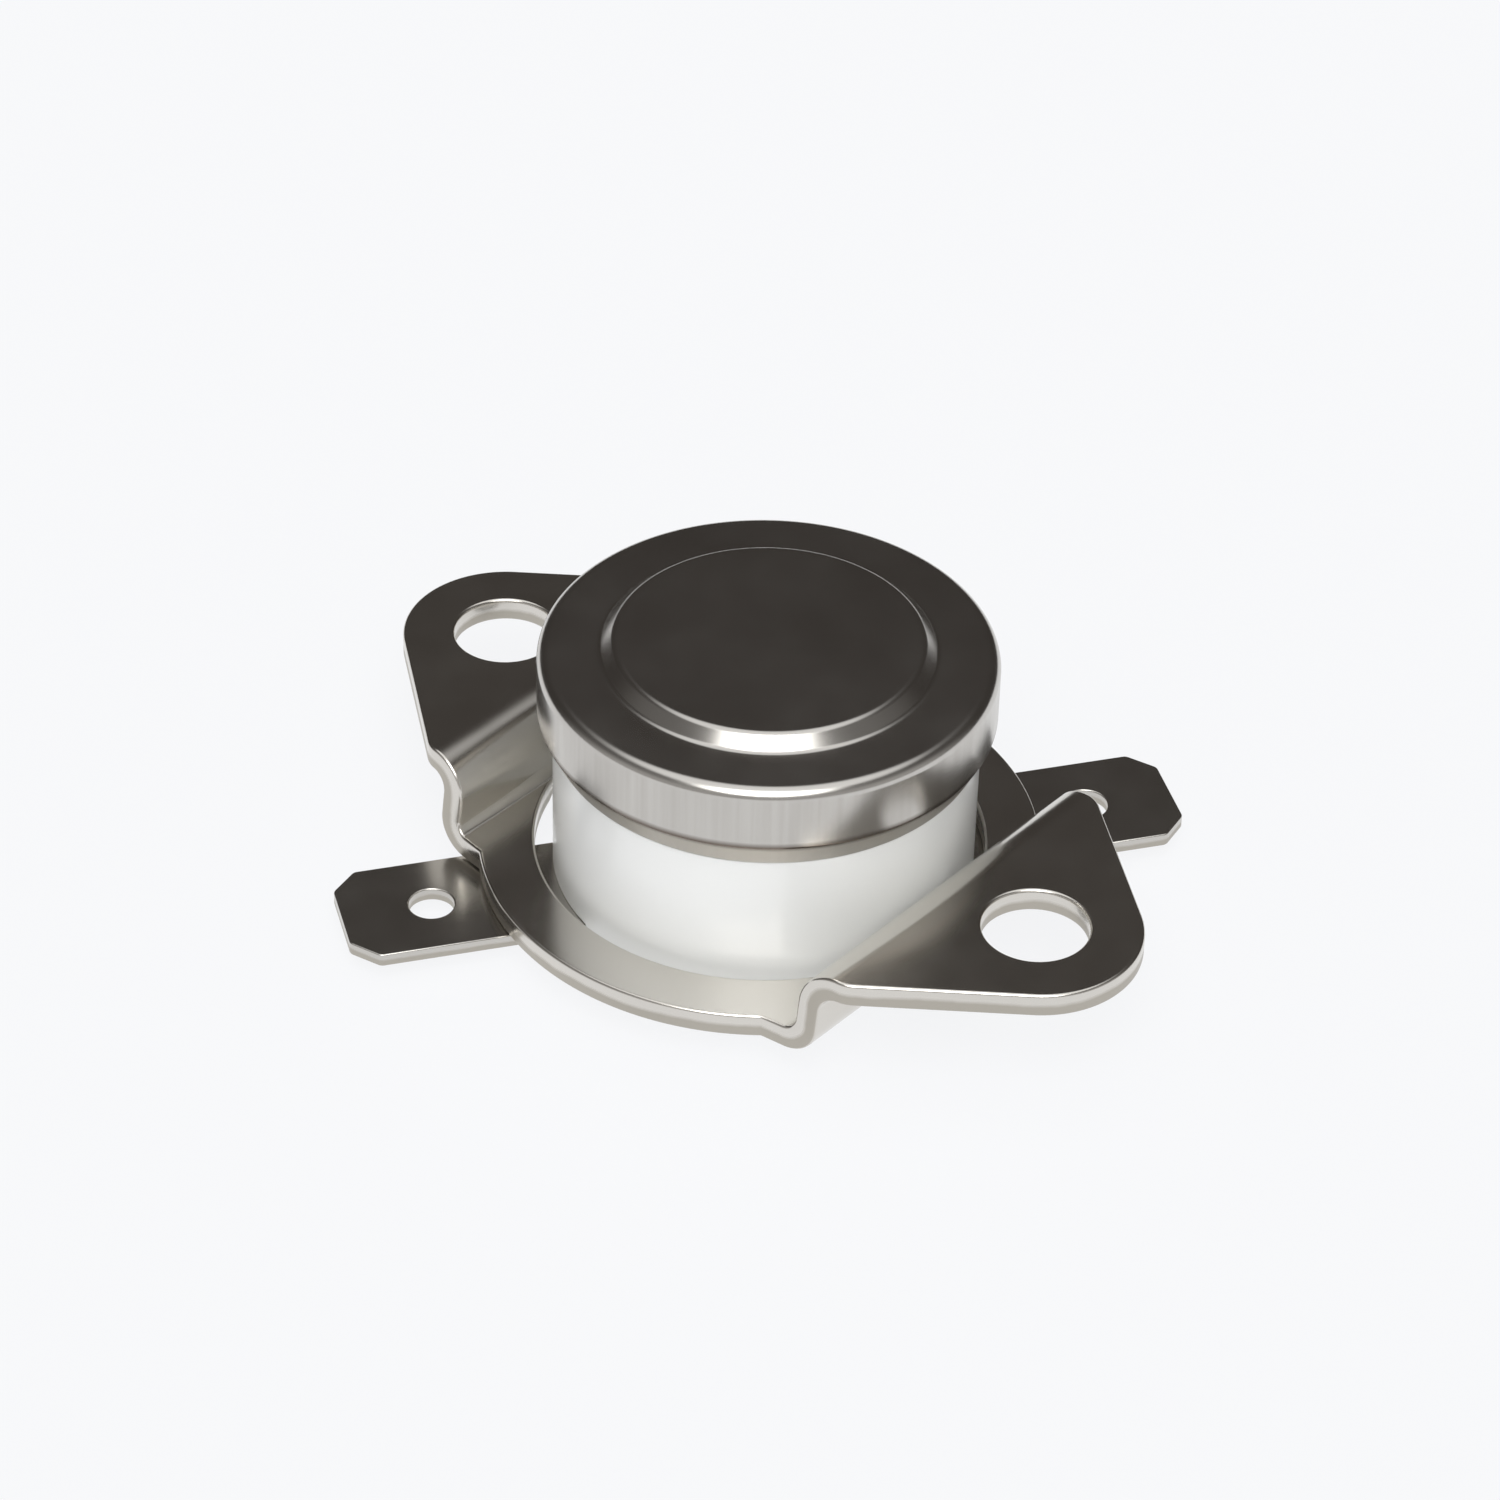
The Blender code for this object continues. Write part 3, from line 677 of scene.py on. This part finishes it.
def sheared(tree, where):
    """Share of fracture: the lower part of a blanked edge, below its burnished band."""
    height = tree.nodes.new("ShaderNodeAttribute")
    height.attribute_name = "sheet_height"
    level = height.outputs["Fac"]
    wander = ramp(tree, noise(tree, where, BREAK_CELLS, 3.0, 0.6), 0.3, 0.7, -BREAK_WANDER, BREAK_WANDER)
    below = ramp(tree, math_node(tree, "ADD", level, wander), -0.15, 0.2, 1.0, 0.0)
    wall = ramp(tree, math_node(tree, "ABSOLUTE", level, 0.0), 0.86, 0.96, 1.0, 0.0)
    return math_node(tree, "MULTIPLY", below, wall)


def hazed(tree, where, roughness):
    """Uneven gloss about the given roughness."""
    haze = noise(tree, where, HAZE_CELLS, 2.0)
    return ramp(tree, haze, 0.1, 0.9, roughness * HAZE_LOW, roughness * HAZE_HIGH)


def wavy(tree, bsdf, where):
    """Slight waviness of pressed sheet."""
    bump(tree, bsdf, noise(tree, where, WAVE_CELLS, 1.0), 1.0, WAVE)


def nickel(name, bright, dull, roughness, blanked=True):
    """Nickel plate on steel strip: cloudy tint, uneven gloss, and a duller fracture on blanked edges."""
    mat, tree, bsdf = shader(name, bright, 1.0, roughness)
    where = coordinates(tree)
    cloud = noise(tree, where, CLOUD_CELLS, 3.0)
    tint = mix_color(tree, ramp(tree, cloud, 0.1, 0.9, 0.0, 1.0), bright, dull)
    gloss = hazed(tree, where, roughness)
    if blanked:
        broken = sheared(tree, where)
        tint = mix_color(tree, math_node(tree, "MULTIPLY", broken, BREAK_SHARE), tint, FRACTURE)
        gloss = math_node(tree, "ADD", gloss, math_node(tree, "MULTIPLY", broken, WORN_DULLING))
    tree.links.new(tint, bsdf.inputs["Base Color"])
    tree.links.new(gloss, bsdf.inputs["Roughness"])
    wavy(tree, bsdf, where)
    return mat


def drawn_nickel():
    """The cap's plate: faint upright draw streaks on its wall, soft clouds, a dulled rolled crimp tinted
    darker brown as a painted reflection, and painted shade along its top crease.
    """
    bright, dull, roughness = (0.61, 0.592, 0.562), (0.51, 0.49, 0.46), 0.22
    mat, tree, bsdf = shader("Cap nickel", bright, 1.0, roughness)
    where = coordinates(tree)
    parts = tree.nodes.new("ShaderNodeSeparateXYZ")
    tree.links.new(where, parts.inputs["Vector"])
    level = parts.outputs["Z"]
    wall = ramp(tree, level, CAP_FACE - CAP_CORNER, CAP_FACE - CAP_CORNER / 2, STREAK_SHARE, 0.0)
    streaks = noise(tree, stretched(tree, around_axis(tree, where), STREAK_CELLS), 1.0, 4.0, 0.55)
    streaks = math_node(tree, "MULTIPLY", ramp(tree, streaks, 0.35, 0.68, 0.0, 1.0), wall)
    cloud = noise(tree, where, CAP_CLOUD_CELLS, 3.0)
    tint = mix_color(tree, streaks, bright, dull)
    tint = mix_color(tree, ramp(tree, cloud, 0.1, 0.9, 0.0, 0.6), tint, dull)
    # The crimp's darker brown tint is a painted reflection; its higher roughness below is real dulling of
    # the rolled metal.
    crimp_dulling_and_reflection = ramp(tree, level, CRIMP_Z - CRIMP_FADE, CRIMP_Z, CRIMP_REFLECTION_SHARE, 0.0)
    tint = mix_color(tree, crimp_dulling_and_reflection, tint, CRIMP_PAINTED_REFLECTION)
    # The dark line along the top of the crimp is painted shade in the crease.
    above = ramp(tree, level, CRIMP_Z, CRIMP_Z + CREASE_SHADE_REACH, 1.0, 0.0)
    below = ramp(tree, level, CRIMP_Z - CREASE_SHADE_REACH, CRIMP_Z, 0.0, 1.0)
    crease_shade = math_node(tree, "MULTIPLY", math_node(tree, "MULTIPLY", above, below), CREASE_SHADE_SHARE)
    tint = mix_color(tree, crease_shade, tint, CREASE_PAINTED_SHADE)
    tree.links.new(tint, bsdf.inputs["Base Color"])
    dulling = math_node(tree, "MULTIPLY", crimp_dulling_and_reflection, WORN_DULLING)
    gloss = math_node(tree, "ADD", hazed(tree, where, roughness), dulling)
    tree.links.new(gloss, bsdf.inputs["Roughness"])
    wavy(tree, bsdf, where)
    return mat


def glazed():
    """White glazed ceramic with a faint green-grey cast in random clouds, and fine orange peel."""
    white, cast = (0.915, 0.928, 0.920), (0.895, 0.910, 0.902)
    mat, tree, bsdf = shader("Glazed ceramic", white, 0.0, 0.22)
    bsdf.inputs["Coat Weight"].default_value = 0.4
    bsdf.inputs["Coat Roughness"].default_value = 0.16
    where = coordinates(tree)
    cloud = noise(tree, where, GLAZE_CLOUD_CELLS, 3.0)
    tint = mix_color(tree, ramp(tree, cloud, 0.2, 0.8, 0.0, 1.0), white, cast)
    tree.links.new(tint, bsdf.inputs["Base Color"])
    peel = noise(tree, where, PEEL_CELLS, 2.0)
    gloss = ramp(tree, peel, 0.1, 0.9, *GLAZE_ROUGHNESS)
    tree.links.new(gloss, bsdf.inputs["Roughness"])
    bump(tree, bsdf, peel, FINE_BUMP_SHARE, FINE_BUMP)
    return mat


def matt(name, base, dark, roughness, scale, metallic=0.0):
    """Plain material with grain: moulded phenolic, bare ceramic, or satin metal."""
    mat, tree, bsdf = shader(name, base, metallic, roughness)
    where = coordinates(tree)
    grain = noise(tree, where, scale, 5.0, 0.6)
    tint = mix_color(tree, ramp(tree, grain, 0.35, 0.7, 0.0, 1.0), base, dark)
    tree.links.new(tint, bsdf.inputs["Base Color"])
    gloss = ramp(tree, grain, 0.3, 0.7, roughness * GRAIN_LOW, roughness * GRAIN_HIGH)
    tree.links.new(gloss, bsdf.inputs["Roughness"])
    bump(tree, bsdf, grain, FINE_BUMP_SHARE, FINE_BUMP)
    return mat


def finish_with(obj, mat):
    obj.data.materials.clear()
    obj.data.materials.append(mat)


def finish_node(name, mat):
    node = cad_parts[name]
    for slot in node.material_slots:
        slot.material = mat


def add_floor():
    mesh = bpy.data.meshes.new("floor")
    side = FLOOR_SIDE
    corners = [(-side, -side, 0), (side, -side, 0), (side, side, 0), (-side, side, 0)]
    mesh.from_pydata(corners, [], [(0, 1, 2, 3)])
    floor = piece(mesh, "floor")
    mat, tree, bsdf = shader("Pale floor", FLOOR_COLOR, 0.0, 0.7)
    bsdf.inputs["Specular IOR Level"].default_value = 0.2
    where = coordinates(tree)
    grain = noise(tree, where, FLOOR_CELLS, 3.0)
    tree.links.new(ramp(tree, grain, 0.3, 0.7, 0.65, 0.75), bsdf.inputs["Roughness"])
    glow = tree.nodes.new("ShaderNodeEmission")
    glow.inputs["Color"].default_value = (*BACKGROUND, 1.0)
    glow.inputs["Strength"].default_value = 1.0
    path = tree.nodes.new("ShaderNodeLightPath")
    seen = path.outputs["Is Camera Ray"]
    for kind in ("Is Glossy Ray", "Is Transmission Ray"):
        seen = math_node(tree, "MAXIMUM", seen, path.outputs[kind])
    mix = tree.nodes.new("ShaderNodeMixShader")
    tree.links.new(ramp(tree, seen, 0.0, 1.0, 0.0, FLOOR_GLOW), mix.inputs[0])
    tree.links.new(bsdf.outputs[0], mix.inputs[1])
    tree.links.new(glow.outputs[0], mix.inputs[2])
    tree.links.new(mix.outputs[0], tree.nodes["Material Output"].inputs["Surface"])
    finish_with(floor, mat)


def towards(azimuth, elevation):
    """Direction to a place in the room; azimuth 0 is before the object, on its -Y side."""
    flat = math.cos(elevation)
    return (-math.sin(azimuth) * flat, -math.cos(azimuth) * flat, math.sin(elevation))


def facing(tree, where, direction):
    """Cosine of the angle between a direction of the world and the given one."""
    dot = tree.nodes.new("ShaderNodeVectorMath")
    dot.operation = "DOT_PRODUCT"
    dot.inputs[1].default_value = direction
    tree.links.new(where, dot.inputs[0])
    return dot.outputs["Value"]


def soft(value):
    value.node.interpolation_type = "SMOOTHSTEP"
    return value


def add_world():
    """Dark room with a wide, soft-edged ceiling light and one soft key light."""
    world = bpy.data.worlds.new("Studio")
    bpy.context.scene.world = world
    world.use_nodes = True
    tree = world.node_tree
    back = tree.nodes["Background"]
    where = tree.nodes.new("ShaderNodeTexCoord").outputs["Generated"]
    parts = tree.nodes.new("ShaderNodeSeparateXYZ")
    tree.links.new(where, parts.inputs["Vector"])
    up = parts.outputs["Z"]
    high = soft(ramp(tree, up, math.sin(CEILING_START), math.sin(CEILING_FULL), 0.0, 1.0))
    front = soft(ramp(tree, facing(tree, where, towards(CAMERA_AZIMUTH, 0)), *ROOM_SIDES, 0.0, 1.0))
    low = soft(ramp(tree, up, math.sin(ROOM_LOW), math.sin(ROOM_HIGH), 1.0, ROOM_HIGH_SHARE))
    room = mix_color(tree, math_node(tree, "MULTIPLY", front, low), ROOM_BEHIND, ROOM_BEFORE)
    sky = mix_color(tree, high, room, CEILING)
    near_key = facing(tree, where, towards(KEY_AZIMUTH, KEY_ELEVATION))
    key = soft(ramp(tree, near_key, math.cos(KEY_REACH), math.cos(KEY_CORE), 0.0, 1.0))
    sky = mix_color(tree, key, sky, KEY)
    path = tree.nodes.new("ShaderNodeLightPath")
    tree.links.new(mix_color(tree, path.outputs["Is Camera Ray"], sky, BACKGROUND), back.inputs["Color"])
    back.inputs["Strength"].default_value = 1.0


def add_camera():
    data = bpy.data.cameras.new("Camera")
    data.sensor_width = SENSOR_MM
    data.lens = FOCAL_PX / FRAME_PX * SENSOR_MM
    data.clip_start = 1 * MM
    data.clip_end = 20.0
    camera = bpy.data.objects.new("Camera", data)
    bpy.context.scene.collection.objects.link(camera)
    e = CAMERA_ELEVATION
    back = Vector((0, -math.cos(e), math.sin(e)))
    right = Vector((1, 0, 0))
    aimed = Matrix((right, back.cross(right), back))
    small = (Matrix.Rotation(CAMERA_ROLL, 3, "Z") @ Matrix.Rotation(CAMERA_TILT, 3, "X")
             @ Matrix.Rotation(CAMERA_PAN, 3, "Y"))
    turn = (small @ aimed).transposed().to_4x4()
    place = Matrix.Translation(back * CAMERA_DISTANCE + Vector((0, 0, CAMERA_AIM_Z)))
    camera.matrix_world = Matrix.Rotation(-CAMERA_AZIMUTH, 4, "Z") @ place @ turn
    bpy.context.scene.camera = camera


def main():
    cap_metal = drawn_nickel()
    sheet_metal = nickel("Bracket nickel", (0.71, 0.685, 0.64), (0.67, 0.645, 0.60), 0.2)
    tab_metal = nickel("Tab nickel", (0.62, 0.60, 0.565), (0.57, 0.55, 0.515), 0.22)
    rivet_metal = nickel("Rivet nickel", (0.68, 0.66, 0.63), (0.60, 0.58, 0.55), 0.25, False)
    ceramic = glazed()

    cap = build_cap()
    finish_with(cap, cap_metal)
    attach(cap, "housing")
    body = build_body()
    finish_with(body, ceramic)
    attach(body, "housing")
    for side, label in ((-1, "left"), (1, "right")):
        tab = build_terminal(side, label)
        finish_with(tab, tab_metal)
        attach(tab, "housing")
        rivet = build_rivet(side, label)
        finish_with(rivet, rivet_metal)
        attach(rivet, "housing")
    bracket = build_bracket()
    finish_with(bracket, sheet_metal)
    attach(bracket, "bracket")
    disc = build_disc()
    finish_with(disc, matt("Bimetal strip", (0.55, 0.53, 0.50), (0.45, 0.42, 0.38), 0.3, 900.0, 1.0))
    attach(disc, "housing")
    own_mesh(disc)
    arm = build_arm()
    finish_with(arm, matt("Spring copper", (0.72, 0.45, 0.30), (0.58, 0.34, 0.21), 0.3, 900.0, 1.0))
    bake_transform(arm)

    silver = matt("Contact silver", (0.80, 0.80, 0.78), (0.68, 0.67, 0.64), 0.28, 1200.0, 1.0)
    finish_node("moving_contact", silver)
    finish_node("fixed_contact", silver)
    brass = matt("Strip brass", (0.72, 0.57, 0.32), (0.60, 0.45, 0.22), 0.3, 900.0, 1.0)
    finish_node("contact_strip", brass)
    finish_node("guide_plate", matt("Phenolic", (0.12, 0.08, 0.06), (0.07, 0.045, 0.035), 0.5, 700.0))
    finish_node("transfer_pin", matt("Pin ceramic", (0.85, 0.83, 0.78), (0.76, 0.73, 0.67), 0.5, 900.0))

    add_floor()
    add_world()
    add_camera()
    scene = bpy.context.scene
    scene.view_settings.view_transform = "Standard"


main()
